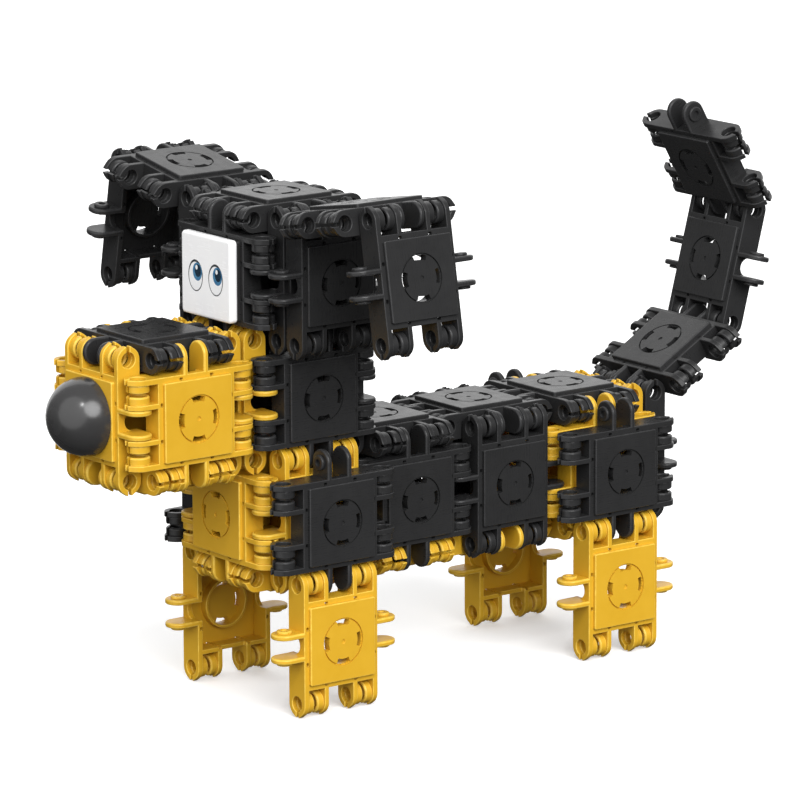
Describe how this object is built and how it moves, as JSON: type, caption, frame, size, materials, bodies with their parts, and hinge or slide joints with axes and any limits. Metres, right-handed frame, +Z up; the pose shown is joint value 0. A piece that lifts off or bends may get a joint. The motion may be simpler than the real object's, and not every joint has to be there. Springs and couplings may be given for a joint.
{
  "type": "construction toy dog",
  "caption": "Toy dog built from click-together square hinge bricks, with hinged legs, two-piece ears and a curled tail, a domed nose and a tile with eyes.",
  "frame": {"origin": "on the ground below the middle of the bounding box", "axes": "+Z up, the dog faces -Y, +X is the dog's left side"},
  "size_m": [0.1614, 0.289, 0.1825],
  "materials": {
    "yellow_plastic": "moulded, semi-gloss",
    "black_plastic": "moulded, satin",
    "nose_plastic": "moulded, high gloss",
    "tile_plastic": "moulded, high gloss, printed eyes"
  },
  "bodies": {
    "trunk": {"snout_front": "yellow_plastic", "snout_left": "yellow_plastic", "snout_right": "yellow_plastic", "snout_top": "black_plastic", "snout_bottom": "yellow_plastic", "snout_back": "yellow_plastic", "nose": "nose_plastic", "neck_front": "yellow_plastic", "neck_left": "black_plastic", "neck_right": "black_plastic", "neck_back": "black_plastic", "head_front": "black_plastic", "head_left": "black_plastic", "head_right": "black_plastic", "head_top": "black_plastic", "head_back": "black_plastic", "face_tile": "tile_plastic", "ear_base_left": "black_plastic", "ear_base_right": "black_plastic", "chest_front": "yellow_plastic", "side_left_1": "yellow_plastic", "side_left_2": "black_plastic", "side_left_3": "black_plastic", "side_left_4": "yellow_plastic", "side_right_1": "yellow_plastic", "side_right_2": "black_plastic", "side_right_3": "black_plastic", "side_right_4": "yellow_plastic", "back_2": "black_plastic", "back_3": "black_plastic", "back_4": "black_plastic", "belly_1": "yellow_plastic", "belly_2": "yellow_plastic", "belly_3": "yellow_plastic", "belly_4": "yellow_plastic", "rump": "yellow_plastic", "shoulder_left": "black_plastic", "shoulder_right": "black_plastic", "hip_left": "black_plastic", "hip_right": "black_plastic", "tail_base": "black_plastic"},
    "leg_front_left": {"leg_front_left": "yellow_plastic"},
    "leg_front_right": {"leg_front_right": "yellow_plastic"},
    "leg_rear_left": {"leg_rear_left": "yellow_plastic"},
    "leg_rear_right": {"leg_rear_right": "yellow_plastic"},
    "ear_upper_left": {"ear_upper_left": "black_plastic"},
    "ear_upper_right": {"ear_upper_right": "black_plastic"},
    "ear_lower_left": {"ear_lower_left": "black_plastic"},
    "ear_lower_right": {"ear_lower_right": "black_plastic"},
    "tail_1": {"tail_1": "black_plastic"},
    "tail_2": {"tail_2": "black_plastic"},
    "tail_3": {"tail_3": "black_plastic"}
  },
  "joints": [
    {"name": "leg_front_left_hinge", "type": "hinge", "parent": "trunk", "child": "leg_front_left", "pos_m": [0.03, -0.05485, 0.04481], "axis": [0, -1, 0], "range_deg": [-24, 90]},
    {"name": "leg_rear_left_hinge", "type": "hinge", "parent": "trunk", "child": "leg_rear_left", "pos_m": [0.03, 0.06515, 0.04481], "axis": [0, -1, 0], "range_deg": [-24, 90]},
    {"name": "ear_upper_left_hinge", "type": "hinge", "parent": "trunk", "child": "ear_upper_left", "pos_m": [0.03, -0.05485, 0.16481], "axis": [0, -1, 0], "range_deg": [-15, 80]},
    {"name": "ear_lower_left_hinge", "type": "hinge", "parent": "ear_upper_left", "child": "ear_lower_left", "pos_m": [0.06939, -0.05485, 0.17176], "axis": [0, -1, 0], "range_deg": [-5, 90]},
    {"name": "leg_front_right_hinge", "type": "hinge", "parent": "trunk", "child": "leg_front_right", "pos_m": [-0.03, -0.05485, 0.04481], "axis": [0, 1, 0], "range_deg": [-24, 90]},
    {"name": "leg_rear_right_hinge", "type": "hinge", "parent": "trunk", "child": "leg_rear_right", "pos_m": [-0.03, 0.06515, 0.04481], "axis": [0, 1, 0], "range_deg": [-24, 90]},
    {"name": "ear_upper_right_hinge", "type": "hinge", "parent": "trunk", "child": "ear_upper_right", "pos_m": [-0.03, -0.05485, 0.16481], "axis": [0, 1, 0], "range_deg": [-15, 80]},
    {"name": "ear_lower_right_hinge", "type": "hinge", "parent": "ear_upper_right", "child": "ear_lower_right", "pos_m": [-0.06939, -0.05485, 0.17176], "axis": [0, 1, 0], "range_deg": [-5, 90]},
    {"name": "tail_1_hinge", "type": "hinge", "parent": "trunk", "child": "tail_1", "pos_m": [0, 0.09515, 0.08481], "axis": [1, 0, 0], "range_deg": [-35, 60]},
    {"name": "tail_2_hinge", "type": "hinge", "parent": "tail_1", "child": "tail_2", "pos_m": [0, 0.12979, 0.10481], "axis": [1, 0, 0], "range_deg": [-90, 30]},
    {"name": "tail_3_hinge", "type": "hinge", "parent": "tail_2", "child": "tail_3", "pos_m": [0, 0.14015, 0.14345], "axis": [1, 0, 0], "range_deg": [-90, 30]}
  ]
}
